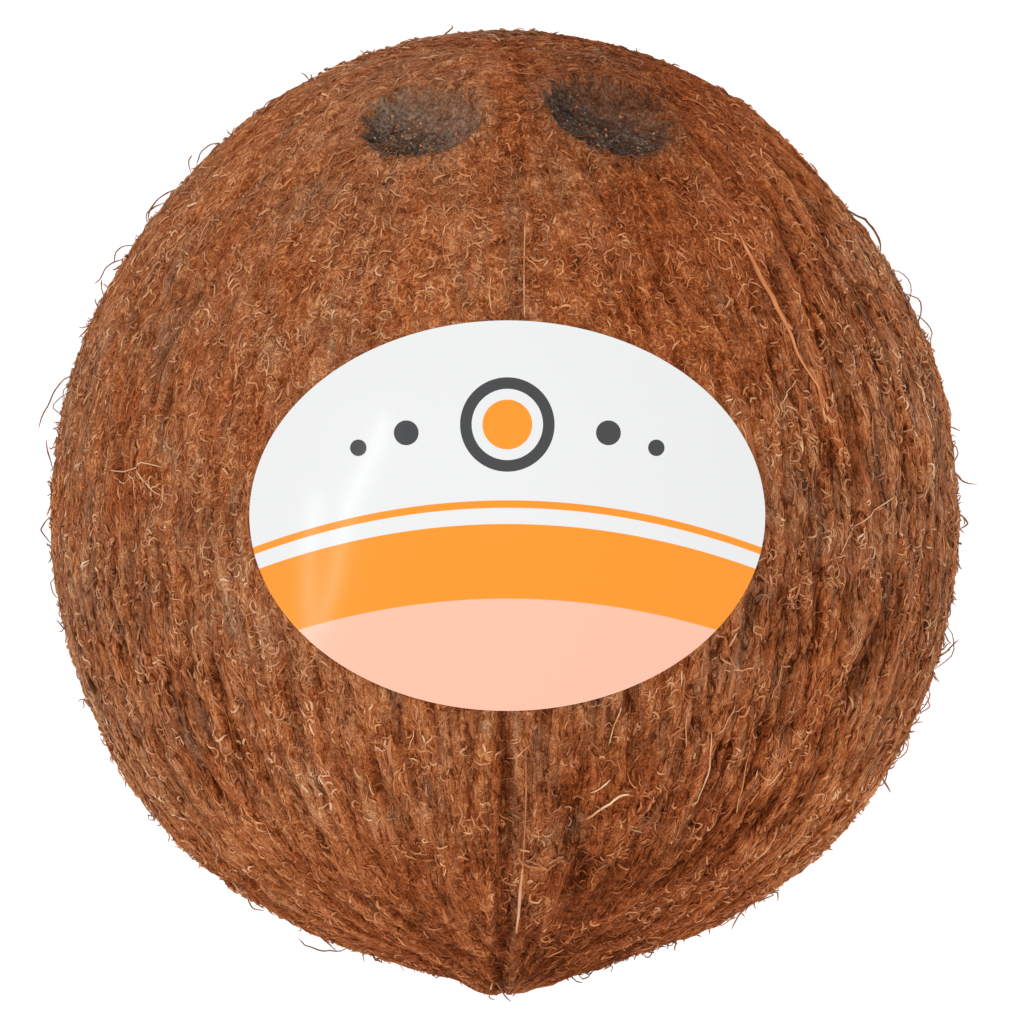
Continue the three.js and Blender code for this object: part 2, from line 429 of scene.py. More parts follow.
def strip_share(direction):
    """1 on the raised strips of coir and 0 in the furrows between them, where there are furrows."""
    strip = grain(direction, 1.6, 17, 19) + 0.3 * grain(direction, 1.0, 3, 20)
    return 1 - furrow_share(direction) * (1 - smoothstep(-0.16, 0.06, strip))


def coir_fields(direction):
    """The matted coir's height over the plain surface, in millimetres, and the masks that colour it.

    The height is locks and strips drawn out along the fibres, round lumps and grit, less gaps and nicks
    between the locks and furrows between the strips. A gap is where a stretched noise is near its top, so
    it is a long slit. Each seam has a groove and a welt beside it on its lower half, and a fine groove on
    its upper half. The coir draws in towards the point, stands up at its tip and is low under the label.
    """
    from_pole, _turn = angles_of(direction)
    locks = grain(direction, 2.6, 9, 2)
    strips = grain(direction, 1.3, 7, 3)
    lumps = patches(direction, 3.4, 4)
    grit = patches(direction, 1.6, 5)
    gaps = smoothstep(0.30, 0.62, grain(direction, 2.3, 8, 6) + 0.15 * grit)
    nicks = smoothstep(0.22, 0.60, grain(direction, 1.3, 4, 7) + 0.15 * lumps)

    upper = 1 - lower_share(from_pole)
    band, groove, welt = (np.zeros_like(from_pole) for _ in range(3))
    for off in seam_offsets(direction):
        band = np.maximum(band, bell(off, 2.2) * upper)
        groove = np.maximum(groove, bell(off + 0.7 + 0.25 * lumps, 0.95) * (1 - upper))
        groove = np.maximum(groove, 0.3 * bell(off - 1.6, 0.5) * upper)
        welt = np.maximum(welt, bell(off - 0.8, 0.7) * (1 - upper))
    away = nearest_eye(direction)
    rim = bell(away - 1.12, 0.2)
    pit = 1 - smoothstep(0.80, 1.0, away)

    smooth = 1 - 0.75 * np.maximum(band, np.maximum(rim, pit))
    deep = 0.35 + 0.65 * furrow_share(direction)
    strip = strip_share(direction)
    height = 0.26 * locks + 0.22 * strips + 0.26 * lumps + 0.14 * grit - (0.75 * gaps + 0.35 * nicks) * deep
    height = (height - 0.40 * (1 - strip)) * smooth - 0.5 * groove + 0.3 * welt
    height = height + 0.35 * pit * patches(direction, 1.1, 8)
    height = height - 0.5 * smoothstep(2.7, 3.0, from_pole) + 0.9 * smoothstep(3.01, 3.11, from_pole)
    under_label = 1 - smoothstep(1.0, 1.06, label_distance(direction))
    height = np.minimum(height, 0.45 - 0.3 * under_label)
    return {"height": height, "band": band, "rim": rim, "strip": strip}


def region_hue(direction):
    """The coir's hue: 0 rusty, 0.5 brown, 1 grey. It changes in patches and streaks, along the seams, in
    the furrows, round the eyes and from part to part of the lying nut."""
    hue = 0.49 + 0.30 * patches(direction, 12, 11)
    hue = hue + 0.30 * grain(direction, 3.5, 9, 12)
    hue = hue + 0.35 * smoothstep(0.30, 0.62, grain(direction, 3.0, 8, 13))
    from_pole, _turn = angles_of(direction)
    upper = 1 - lower_share(from_pole)
    below_eyes = smoothstep(0.42, 0.56, from_pole)
    for off in seam_offsets(direction):
        hue = np.maximum(hue, 0.90 * bell(off - 0.7, 2.4) * upper * below_eyes)
        hue = hue - 0.35 * bell(off - 0.3, 3.5) * (1 - below_eyes)
        hue = np.maximum(hue, 0.95 * bell(off - 0.7, 1.0) * (1 - upper))
    aside, up = aside_and_up(direction)
    hue = hue + sum((
        0.24 * (1 - strip_share(direction)) - 0.06 * furrow_share(direction),
        0.40 * smoothstep(0.85, 0.95, up),  # greyer at the eye end
        0.20 * painted_sheen(aside, up) * smoothstep(0.8, 0.5, np.abs(up)),  # greyer at both sides, as sheen
        0.08 * smoothstep(0.3, 0.7, -aside) * smoothstep(0.1, -0.1, up),  # at the lower left
        -0.44 * bell(aside - 0.38, 0.28) * smoothstep(0.0, 0.4, up),  # rustier at the upper right
        -0.12 * smoothstep(0.3, 0.6, -aside) * bell(up - 0.15, 0.25),  # on the left
        -0.08 * bell(aside + 0.30, 0.28) * bell(up - 0.50, 0.24),  # at the upper left
        -0.08 * smoothstep(0.1, 0.4, aside) * smoothstep(0.1, 0.4, -up),  # at the lower right
        -0.26 * smoothstep(0.25, 0.65, -up) - 0.12 * smoothstep(0.65, 0.80, -up),  # towards the point
    ))
    rim = bell(nearest_eye(direction) - 1.1, 0.22)
    hue = hue * (1 - rim) + 0.70 * rim
    inside = 1 - smoothstep(0.80, 1.05, nearest_eye(direction))
    return np.clip(hue * (1 - inside) + 0.92 * inside, 0.02, 0.98)


def region_tone(direction):
    """How much lighter or darker the coir is, broadly: in patches, in the furrows, round the eyes, along
    the seams and from part to part of the lying nut."""
    aside, up = aside_and_up(direction)
    tone = 0.05 * patches(direction, 9, 14) - 0.03 * up + 0.02 * aside + sum((
        # darker in the furrows: partly dirt, partly painted shade
        -0.09 * (1 - strip_share(direction)) + 0.02 * furrow_share(direction),
        -0.04 * bell(nearest_eye(direction) - 1.25, 0.25),
        0.05 * painted_sheen(aside, up) * smoothstep(0.9, 0.6, np.abs(up)),  # lighter at both sides, as sheen
        0.04 * smoothstep(0.1, 0.5, -up) - 0.06 * smoothstep(0.60, 0.80, -up),  # between belly and point
        0.03 * smoothstep(0.2, 0.6, -aside) * smoothstep(0.1, -0.2, up),  # at the lower left
        0.03 * smoothstep(0.5, 0.8, aside) * bell(up - 0.15, 0.2),  # and on the right
        -0.07 * smoothstep(0.40, 0.60, aside) * bell(up + 0.30, 0.24),  # darker at the lower right
        -0.11 * bell(aside - 0.30, 0.22) * smoothstep(0.1, 0.5, up),  # at the upper right
        -0.11 * bell(aside - 0.25, 0.24) * smoothstep(0.3, 0.5, -up),  # right of the point
        -0.04 * smoothstep(0.85, 0.95, up),  # and at the eye end
        -0.04 * smoothstep(0.0, 0.15, aside) * smoothstep(0.75, 0.85, up),  # mostly on its right
    ))
    lower = lower_share(angles_of(direction)[0])
    # Painted shade in the seams' grooves: the groove by each lower seam and the fine one by each upper seam.
    # A little darker along the upper seams as well.
    for off in seam_offsets(direction):
        tone = tone - 0.10 * bell(off + 0.7, 0.9) * lower
        tone = tone - (0.04 * bell(off - 1.6, 0.6) + 0.05 * bell(off - 0.6, 2.0)) * (1 - lower)
    return tone


DIRECTION = grid_directions()
COIR = coir_fields(DIRECTION)
COIR["hue"] = region_hue(DIRECTION)
COIR["tone"] = region_tone(DIRECTION)
COIR_REACH = model_reach(DIRECTION) - COIR_SUNK + COIR["height"] * MM


def read_grid(field, direction):
    """A field of the coir's grid in any direction, read between the grid's points."""
    from_pole, turn = angles_of(direction)
    row = np.interp(from_pole, row_angles(), np.arange(COIR_ROWS - 1))
    row = np.minimum(row, COIR_ROWS - 2.001)
    column = (turn + np.pi) / (2 * np.pi) * COIR_COLUMNS
    r, c = np.floor(row).astype(int), np.floor(column).astype(int)
    down, right = row - r, column - c
    here, there = c % COIR_COLUMNS, (c + 1) % COIR_COLUMNS
    top = field[r, here] * (1 - right) + field[r, there] * right
    bottom = field[r + 1, here] * (1 - right) + field[r + 1, there] * right
    return top * (1 - down) + bottom * down


# How bare of strands the coir is.
BARE = np.maximum(0.6 * np.maximum(COIR["band"], COIR["rim"]), 0.8 * (1 - COIR["strip"]))


def coir_reach(direction):
    """The matted coir's surface in any direction."""
    return read_grid(COIR_REACH, direction)


def across_and_along(direction):
    """Two unit vectors on the surface: across the fibres and along them. The fibres run along the circles
    through both ends of the nut, from side to side over the eye end's pole, and in rings round the eyes."""
    plane = np.cross(EYE_END - direction, POINT_END - direction)
    along = unit(np.cross(plane, direction) + 1e-9)
    side_way = unit(np.array([1.0, 0, 0]) - direction * direction[..., :1])
    ways = [(side_way, eye_end_share(angles_of(direction)[0]))]
    for eye in EYES:
        ring_way = unit(np.cross(direction, towards(*np.radians(eye[:2]))) + 1e-9)
        ways.append((ring_way, bell(eye_distance(direction, eye) - 1.1, 0.25)))
    for way, share in ways:
        way = way * np.where(np.sum(way * along, axis=-1) < 0, -1.0, 1.0)[..., None]
        along = along * (1 - share[..., None]) + way * share[..., None]
    along = unit(along)
    return np.cross(along, direction), along


def curly_share(direction):
    """How many of the curled strands are kept: more in patches, over the label's upper left and on its
    right, fewer in the furrowed coir and by the eyes."""
    aside, up = aside_and_up(direction)
    thick = bell(aside + 0.30, 0.28) * bell(up - 0.50, 0.24)
    on_the_right = 0.5 * bell(aside - 0.65, 0.18) * bell(up - 0.15, 0.40)
    patch = np.maximum(smoothstep(-0.3, 0.2, patches(direction, 10, 17)), thick)
    less = (1.15 - 0.65 * furrow_share(direction)) * (1 - 0.5 * smoothstep(0.55, 0.78, up))
    return (0.25 + 0.75 * patch) * less + on_the_right


def pale_share(direction):
    """How many of the pale fibres are kept: most beside the label's lower right and lower left."""
    aside, up = aside_and_up(direction)
    low = bell(np.abs(aside) - 0.45, 0.2) * bell(up + 0.45, 0.25)
    return 0.55 + 0.9 * low * np.where(aside > 0, 1, 0.4)


def round_the_sides(direction):
    """1 round the lying nut's sides and less at its eye end, and 0 on its top and underside."""
    lying = turned(direction)
    return bell(lying[..., 2], 0.3) * (1 - 0.85 * smoothstep(0.5, 0.8, lying[..., 1]))


def build_piece(name, points, faces, material, values=None, chart=None):
    """A piece at the origin. Faces is a list of arrays of triangles or quads, values holds numbers for each
    point by the names that the material reads, and chart is each face corner's place on the bake's map."""
    corners = np.concatenate([part.ravel() for part in faces])
    sizes = np.concatenate([np.full(len(part), part.shape[1]) for part in faces])
    mesh = bpy.data.meshes.new(name)
    mesh.vertices.add(len(points))
    mesh.vertices.foreach_set("co", points.astype(np.float32).ravel())
    mesh.loops.add(len(corners))
    mesh.loops.foreach_set("vertex_index", corners.astype(np.int32))
    mesh.polygons.add(len(sizes))
    mesh.polygons.foreach_set("loop_start", (np.cumsum(sizes) - sizes).astype(np.int32))
    mesh.polygons.foreach_set("use_smooth", np.ones(len(sizes), bool))
    mesh.update(calc_edges=True)
    for key, numbers in (values or {}).items():
        kind, field = ("FLOAT", "value") if numbers.ndim == 1 else ("FLOAT_VECTOR", "vector")
        layer = mesh.attributes.new(key, kind, "POINT")
        layer.data.foreach_set(field, numbers.astype(np.float32).ravel())
    if chart is not None:
        layer = mesh.uv_layers.new(name="OFBake")
        layer.data.foreach_set("uv", chart.astype(np.float32).ravel())
    mesh.materials.append(material)
    piece = bpy.data.objects.new(name, mesh)
    bpy.context.scene.collection.objects.link(piece)
    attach(piece, "root")
    return piece


# Shader nodes.


def add_node(tree, kind, inputs=None, **settings):
    """A node with its settings, and its inputs set to numbers or linked from sockets."""
    node = tree.nodes.new(kind)
    for key, value in settings.items():
        setattr(node, key, value)
    for key, value in (inputs or {}).items():
        if isinstance(value, bpy.types.NodeSocket):
            tree.links.new(value, node.inputs[key])
        else:
            node.inputs[key].default_value = value
    return node


def math_node(tree, operation, *values, clamp=False):
    """The result of a Math node."""
    inputs = dict(enumerate(values))
    return add_node(tree, "ShaderNodeMath", inputs, operation=operation, use_clamp=clamp).outputs[0]


def weighted_sum(tree, *terms):
    """The sum of (socket, weight) terms and of plain numbers."""
    total = sum(term for term in terms if not isinstance(term, tuple))
    for socket, weight in (term for term in terms if isinstance(term, tuple)):
        total = math_node(tree, "MULTIPLY_ADD", socket, weight, total)
    return total


def attribute(tree, name, output="Fac"):
    """A number or vector that the piece's points hold."""
    return add_node(tree, "ShaderNodeAttribute", attribute_name=name).outputs[output]


def mix_colours(tree, factor, first, second, blend="MIX"):
    """The result of a Mix node on colours."""
    inputs = {0: factor, 6: first, 7: second}
    return add_node(tree, "ShaderNodeMix", inputs, data_type="RGBA", blend_type=blend).outputs[2]


def mix_numbers(tree, factor, first, second):
    """The result of a Mix node on numbers."""
    return add_node(tree, "ShaderNodeMix", {0: factor, 2: first, 3: second}, data_type="FLOAT").outputs[0]


def ramp(tree, factor, colours, first=0.0):
    """The colour of a ramp whose colours are evenly spaced from first to 1."""
    node = add_node(tree, "ShaderNodeValToRGB", {"Fac": factor})
    elements = node.color_ramp.elements
    while len(elements) < len(colours):
        elements.new(0.5)
    for element, place, colour in zip(elements, np.linspace(first, 1, len(colours)), colours):
        element.position = place
        element.color = (*colour, 1)
    return node.outputs["Color"]


def noise_node(tree, vector, scale, detail=3.0, distortion=0.0):
    """A noise texture's number, about 0.2 to 0.8."""
    inputs = {"Vector": vector, "Scale": scale, "Detail": detail, "Distortion": distortion}
    return add_node(tree, "ShaderNodeTexNoise", {"Roughness": 0.55, **inputs}).outputs["Fac"]


def new_group(name, inputs, outputs):
    """An empty node group. Its inputs are given as name to (type, default), its outputs as name to type."""
    group = bpy.data.node_groups.new(name, "ShaderNodeTree")
    for key, (kind, value) in inputs.items():
        group.interface.new_socket(key, in_out="INPUT", socket_type=kind).default_value = value
    for key, kind in outputs.items():
        group.interface.new_socket(key, in_out="OUTPUT", socket_type=kind)
    return group, group.nodes.new("NodeGroupInput"), group.nodes.new("NodeGroupOutput")


def coir_colour_group():
    """Coir's colour: from dark crevice to pale fibre by Tone, and from rusty by brown to grey by Hue."""
    group, given, result = new_group(
        "coir_colour",
        {"Tone": ("NodeSocketFloat", 0.5), "Hue": ("NodeSocketFloat", 0.5)},
        {"Color": "NodeSocketColor"},
    )
    tone, hue = given.outputs["Tone"], given.outputs["Hue"]
    rusty, brown, grey = (ramp(group, tone, colours) for colours in (RUSTY_COIR, BROWN_COIR, GREY_COIR))
    warm = mix_colours(group, math_node(group, "MULTIPLY", hue, 2.0, clamp=True), rusty, brown)
    cool = math_node(group, "MULTIPLY_ADD", hue, 2.0, -1.0, clamp=True)
    group.links.new(mix_colours(group, cool, warm, grey), result.inputs["Color"])
    return group


def tangle_group():
    """Fine tangled fibres as a height from 0 to 1: thin lines where a warped noise crosses its middle, at
    two sizes. Gap is 1 where a third noise is low, between the fibres."""
    group, given, result = new_group(
        "tangle",
        {"Vector": ("NodeSocketVector", (0, 0, 0)), "Scale": ("NodeSocketFloat", 900.0)},
        {"Height": "NodeSocketFloat", "Gap": "NodeSocketFloat"},
    )
    place, scale = given.outputs["Vector"], given.outputs["Scale"]
    lines = []
    for times in (1.0, 2.1):
        finer = math_node(group, "MULTIPLY", scale, times)
        noise = noise_node(group, place, finer, detail=1.0, distortion=1.0)
        off = math_node(group, "ABSOLUTE", math_node(group, "SUBTRACT", noise, 0.5))
        lines.append(math_node(group, "MULTIPLY_ADD", off, -13.0, 1.0, clamp=True))
    both = math_node(group, "MAXIMUM", lines[0], math_node(group, "MULTIPLY", lines[1], 0.7))
    group.links.new(both, result.inputs["Height"])
    low = noise_node(group, place, math_node(group, "MULTIPLY", scale, 0.8), detail=2.0)
    gap = math_node(group, "MULTIPLY_ADD", low, -12.0, 4.9, clamp=True)
    group.links.new(gap, result.inputs["Gap"])
    return group


def new_material(name, settings):
    """A material, its tree and its shader, whose sockets are set to plain numbers."""
    material = bpy.data.materials.new(name)
    material.use_nodes = True
    shader = material.node_tree.nodes["Principled BSDF"]
    for key, value in settings.items():
        shader.inputs[key].default_value = value
    return material, material.node_tree, shader


def use_group(tree, group, **inputs):
    """The outputs of the group's node in a material."""
    return add_node(tree, "ShaderNodeGroup", inputs, node_tree=group).outputs


def matted_coir_material(coir_colour, tangle):
    """The coir between and under the strands: curls, streaks and slits along the fibres, dark grey in the
    eyes, with painted shade at each pit's lower left. The streaks are read in the "lay" of the fibres,
    and near the nut's ends in their "end_lay"."""
    material, tree, shader = new_material("matted_coir", {"Roughness": 0.95, "Specular IOR Level": 0.03})
    place = add_node(tree, "ShaderNodeTexCoord").outputs["Object"]
    lay, end_lay = attribute(tree, "lay", "Vector"), attribute(tree, "end_lay", "Vector")
    near_end, furrowed = attribute(tree, "near_end"), attribute(tree, "furrow")
    curls = use_group(tree, tangle, Vector=place, Scale=900.0)
    furrows = use_group(tree, tangle, Vector=lay, Scale=520.0)["Height"]
    sharp = math_node(tree, "MULTIPLY_ADD", furrows, 2.2, -1.2, clamp=True)
    furrow = math_node(tree, "MULTIPLY", sharp, furrowed)
    along = use_group(tree, tangle, Vector=lay, Scale=1500.0)
    end_along = use_group(tree, tangle, Vector=end_lay, Scale=1500.0)

    def shared(socket, slope, least):
        """A number times (slope x the furrowed share + least)."""
        return math_node(tree, "MULTIPLY", socket, math_node(tree, "MULTIPLY_ADD", furrowed, slope, least))

    streaks = shared(mix_numbers(tree, near_end, along["Height"], end_along["Height"]), 0.6, 0.5)
    slits = shared(mix_numbers(tree, near_end, along["Gap"], end_along["Gap"]), 0.75, 0.25)
    curl_lines, curl_gaps = shared(curls["Height"], -0.7, 1.2), shared(curls["Gap"], -0.7, 1.2)
    mottle = noise_node(tree, place, 420.0, detail=5.0)
    # Lighter on the curled and streaked fibres, darker in the gaps, slits and furrows: partly the coir's own
    # colour and dirt, partly painted light and shade.
    tone = weighted_sum(
        tree, (attribute(tree, "tone"), 1.0), (curl_lines, 0.30), (streaks, 0.20), (mottle, 0.46),
        (curl_gaps, -0.15), (slits, -0.24), (furrow, -0.34), -0.28,
    )
    patchy = noise_node(tree, lay, 620.0, detail=3.0)
    specked = noise_node(tree, place, 1500.0, detail=2.0)
    hue = weighted_sum(tree, (attribute(tree, "hue"), 1.0), (patchy, 1.1), (specked, 0.5), -0.98)
    colour = use_group(tree, coir_colour, Tone=tone, Hue=hue)["Color"]
    grainy = noise_node(tree, place, 2600.0, detail=2.0)
    # The bare shell: lightened up each pit's upper right wall, partly dust and partly painted light, and
    # darkest at the lower left, partly painted shade.
    dust_and_light = attribute(tree, "dust_and_light")
    bare = weighted_sum(tree, (mottle, 0.6), (specked, 0.9), (grainy, 1.1), (dust_and_light, 0.36), -0.93)
    shell = ramp(tree, bare, BARE_SHELL, first=0.1)
    tree.links.new(mix_colours(tree, attribute(tree, "pit"), colour, shell), shader.inputs["Base Color"])
    relief = weighted_sum(
        tree, (curl_lines, 0.7), (curl_gaps, -0.4), (streaks, 0.6), (mottle, 1.0), (slits, -1.0),
        (furrow, -1.2),
    )
    bump = add_node(tree, "ShaderNodeBump", {"Height": relief, "Strength": 0.7, "Distance": 0.35 * MM})
    tree.links.new(bump.outputs["Normal"], shader.inputs["Normal"])
    return material


def fibre_material(coir_colour):
    """Single strands: one tone and hue for each place along a strand, which its points hold."""
    material, tree, shader = new_material("coir_fibre", {"Roughness": 0.85, "Specular IOR Level": 0.1})
    tone, hue = attribute(tree, "tone"), attribute(tree, "hue")
    colour = use_group(tree, coir_colour, Tone=tone, Hue=hue)["Color"]
    tree.links.new(colour, shader.inputs["Base Color"])
    return material


def label_material():
    """Coated paper with a plain print of bands that bow up and of rings and dots. A place is within a mark
    where its level, y + bow x^2, or its distance from the mark's middle is within a half width of the
    mark's own."""
    paper_finish = {"Roughness": 0.5, "Coat Weight": 0.7, "Coat Roughness": 0.15, "Specular IOR Level": 0.15}
    material, tree, shader = new_material("label_print", paper_finish)
    place = add_node(tree, "ShaderNodeTexCoord").outputs["Object"]
    to_middle = {"Location": (-LABEL_MIDDLE[0] / MM, -LABEL_MIDDLE[1] / MM, 0), "Scale": (1 / MM,) * 3}
    centred = add_node(tree, "ShaderNodeMapping", {"Vector": place, **to_middle}).outputs[0]
    parts = add_node(tree, "ShaderNodeSeparateXYZ", {"Vector": centred})
    x, y = parts.outputs["X"], parts.outputs["Y"]
    level = math_node(tree, "MULTIPLY_ADD", math_node(tree, "MULTIPLY", x, x), PRINT_BOW, y)
    marks = [(level, *band) for band in PRINTED_BANDS]
    for middle_x, middle_y, *ring in PRINTED_RINGS:
        aside = math_node(tree, "POWER", math_node(tree, "SUBTRACT", x, middle_x), 2.0)
        up = math_node(tree, "POWER", math_node(tree, "SUBTRACT", y, middle_y), 2.0)
        marks.append((math_node(tree, "SQRT", math_node(tree, "ADD", aside, up)), *ring))
    colour = WHITE_PAPER
    for value, middle, half_width, ink in marks:
        off = math_node(tree, "ABSOLUTE", math_node(tree, "SUBTRACT", value, middle))
        colour = mix_colours(tree, math_node(tree, "LESS_THAN", off, half_width), colour, ink)
    tree.links.new(colour, shader.inputs["Base Color"])
    roughness = weighted_sum(tree, (noise_node(tree, place, 700.0), 0.2), 0.4)
    tree.links.new(roughness, shader.inputs["Roughness"])
    return material


def ring_quads(index):
    """Quads between neighbouring rings of points, whose indices are the rows of an array."""
    beside = np.roll(index, -1, axis=1)
    return columns(index[:-1], index[1:], beside[1:], beside[:-1]).reshape(-1, 4)


def fan(tip, ring, outward=False):
    """Triangles from one point to a ring of points, round one way or the other."""
    beside = np.roll(ring, -1)
    return columns(tip, beside, ring) if outward else columns(tip, ring, beside)


def coir_chart():
    """The matted coir's places on the bake's map, for each corner of each face: the turn across and the
    angle from the pole down, with the poles' triangles reaching to its top and bottom edges."""
    u = np.arange(COIR_COLUMNS + 1) / COIR_COLUMNS
    v = np.concatenate([[1], 1 - row_angles() / np.pi, [0]])
    left, right = u[:-1], u[1:]
    middle = (left + right) / 2
    high, low = v[1:-2, None], v[2:-1, None]
    quads = columns(left, high, left, low, right, low, right, high)
    top = columns(middle, v[0], left, v[1], right, v[1])
    bottom = columns(middle, v[-1], right, v[-2], left, v[-2])
    return np.concatenate([part.reshape(-1, 2) for part in (quads, top, bottom)])


# The matted coir.


def make_matted_coir(material):
    """The coir's grid closed at both poles: each point is its direction times coir_reach, laid down, and
    nothing goes below the flat spot. The streaks' lays are cylinders along the nut, and near its ends a
    cylinder along X at the eye end and a narrower one along the nut at the point."""
    points = lie_down(DIRECTION * COIR_REACH[..., None]).reshape(-1, 3)
    poles = np.stack([EYE_END * COIR_REACH[0].mean(), POINT_END * COIR_REACH[-1].mean()])
    points = np.concatenate([points, lie_down(poles)])
    points[:, 2] = np.maximum(points[:, 2], FLAT_SPOT_RIM)
    index = np.arange(COIR_REACH.size).reshape(COIR_REACH.shape)
    head, tail = index.size, index.size + 1
    faces = [ring_quads(index), fan(head, index[0]), fan(tail, index[-1], outward=True)]

    from_pole, turn = angles_of(DIRECTION)
    eye_half = from_pole < np.pi / 2
    near_point = 1 - smoothstep(0.35, 0.6, np.sin(from_pole))
    pit, dust_and_light = pit_shade(DIRECTION)
    numbers = {
        # Lighter where the coir is high and darker where it is low, partly dirt and partly painted light and
        # shade, and a little lighter on the eyes' rims.
        "tone": 0.42 + 0.20 * np.minimum(COIR["height"], 0.5) + COIR["tone"] + 0.01 * COIR["rim"],
        "hue": COIR["hue"],
        "pit": pit,
        "dust_and_light": dust_and_light,
        "furrow": furrow_share(DIRECTION),
        "near_end": np.where(eye_half, eye_end_share(from_pole), near_point),
    }
    values = {}
    for key, field in numbers.items():
        values[key] = np.append(field.ravel(), [field[0].mean(), field[-1].mean()])
    lay = columns(np.sin(turn), np.cos(turn), from_pole / 4) * BELLY_RADIUS
    side_lay = DIRECTION * BELLY_RADIUS * [0.25, 1, 1]
    end_lay = np.where(eye_half[..., None], side_lay, lay * [1 / 3, 1 / 3, 1])
    for key, field in (("lay", lay), ("end_lay", end_lay)):
        values[key] = np.concatenate([field.reshape(-1, 3), field[0, :1], field[-1, :1]])
    piece = build_piece("matted_coir", points, faces, material, values, coir_chart())
    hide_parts("coconut")


def pit_shade(direction):
    """How bare each place in the eyes is: wholly on a pit's floor, and less up its wall at the upper right,
    which leaves the lower left darkest, partly bare shell and partly painted shade. The second result
    is how much the shell is lightened there, up the upper right wall: partly dust, partly painted light."""
    shade, dust_and_light = np.zeros(direction.shape[:-1]), np.zeros(direction.shape[:-1])
    upper_right = turned_back(np.array([0.4, 0.9, 0]))
    for eye, eye_dust_and_light in zip(EYES, EYES_DUST_AND_LIGHT):
        middle = towards(*np.radians(eye[:2]))
        up_wall = direction @ unit(upper_right - middle * (upper_right @ middle)) * EYE_END_LENGTH / eye[3]
        up_wall = up_wall + 0.35 * patches(direction, 1.6, 16)
        away = eye_distance(direction, eye) + 0.14 * patches(direction, 1.3, 9)
        inside = 1 - smoothstep(0.92, 1.06, away)
        shade = np.maximum(shade, inside * (1 - 0.6 * smoothstep(0.0, 0.8, up_wall)))
        dust_and_light = np.maximum(dust_and_light, inside * eye_dust_and_light * smoothstep(-0.75, 0.35, up_wall))
    return shade, dust_and_light


# Strands.


def strand_faces(count, rings, sides):
    """The faces of count strands. A strand's points are one end, its rings in turn, and the other end."""
    size = 2 + rings * sides
    index = 1 + np.arange(rings * sides).reshape(rings, sides)
    first = (np.arange(count) * size)[:, None, None]
    parts = [ring_quads(index), fan(0, index[0]), fan(size - 1, index[-1], outward=True)]
    return [(first + part).reshape(-1, part.shape[1]) for part in parts]


def strand_points(paths, ups, half_widths, half_heights, sides):
    """Rings of an ellipse round each inner point of each path, path + w cos(a) side + h sin(a) up, with the
    two ends left as single points."""
    along = unit(np.gradient(paths, axis=1))
    side = unit(np.cross(along, ups))
    up = np.cross(side, along)
    angle = 2 * np.pi * (np.arange(sides) + 0.5) / sides
    inner = slice(1, -1)
    rings = (
        paths[:, inner, None]
        + half_widths[:, inner, None, None] * np.cos(angle)[:, None] * side[:, inner, None]
        + half_heights[:, inner, None, None] * np.sin(angle)[:, None] * up[:, inner, None]
    ).reshape(len(paths), -1, 3)
    return np.concatenate([paths[:, :1], rings, paths[:, -1:]], axis=1).reshape(-1, 3)


def spread_to_rings(numbers, sides):
    """A number for each point of a path, given to every point of the ring round it."""
    inner = np.repeat(numbers[:, 1:-1], sides, axis=1)
    return np.concatenate([numbers[:, :1], inner, numbers[:, -1:]], axis=1)


def build_strands(name, paths, ups, widths, heights, sides, tones, hues, material):
    """One piece of strands, without those that reach down to the flat spot. Strands lie on the bake's map
    at their own (tone, hue), so that all of them share it."""
    clear = lie_down(paths)[..., 2].min(axis=1) > 0.3 * MM
    paths, ups, widths, heights, tones, hues = (a[clear] for a in (paths, ups, widths, heights, tones, hues))
    points = strand_points(paths, ups, widths, heights, sides)
    faces = strand_faces(len(paths), paths.shape[1] - 2, sides)
    tones, hues = (np.clip(spread_to_rings(a, sides), 0.01, 0.99).ravel() for a in (tones, hues))
    places = columns(tones, hues)
    chart = np.concatenate([places[part.ravel()] for part in faces])
    build_piece(name, lie_down(points), faces, material, {"tone": tones, "hue": hues}, chart)


def random_directions(rng, count):
    """Directions spread evenly over the nut, off the label and out of the eyes, half as many underneath."""
    found = np.zeros((0, 3))
    while len(found) < count:
        tries = unit(rng.normal(size=(2 * count, 3)))
        chance = 1 - 0.5 * smoothstep(-0.35, -0.8, turned(tries)[..., 2])
        keep = (label_distance(tries) > 1.0) & (nearest_eye(tries) > 1.0) & (rng.random(len(tries)) < chance)
        found = np.concatenate([found, tries[keep]])
    return found[:count]


def between(ends, share):
    """A share of the way from the first end to the second."""
    return ends[0] + (ends[1] - ends[0]) * share


def directions_in_eyes(rng, count):
    """Directions spread over the three pits, two in three of them in a pit's lower half as the nut lies."""
    eye = np.array(EYES)[rng.integers(0, len(EYES), count)]
    middle = towards(*np.radians(eye[:, :2]).T)
    upper = turned_back(np.array([0.0, 1.0, 0.0]))
    up = unit(upper - middle * (middle @ upper)[:, None])
    away, around = 0.9 * np.sqrt(rng.random(count)), rng.uniform(-np.pi, np.pi, count)
    rise = away * np.sin(around)
    rise = np.where((rise > 0) & (rng.random(count) < 0.33), -rise, rise)
    aside = (away * np.cos(around))[:, None] * np.cross(middle, up) + rise[:, None] * up
    return unit(middle * EYE_END_LENGTH + aside * eye[:, 3:4])


def crawl(direction, heading, turns, hold, lengths):
    """Paths of directions over the coir: each step goes along the fibres, turned aside by its heading. The
    next step's heading is hold times it, plus a turn of its own."""
    step = (lengths / turns.shape[1])[:, None]
    path = [direction]
    for more in turns.T:
        across, along = across_and_along(direction)
        move = np.cos(heading)[:, None] * along + np.sin(heading)[:, None] * across
        direction = unit(direction * coir_reach(direction)[:, None] + move * step)
        heading = hold * heading + more
        path.append(direction)
    return np.stack(path, axis=1)


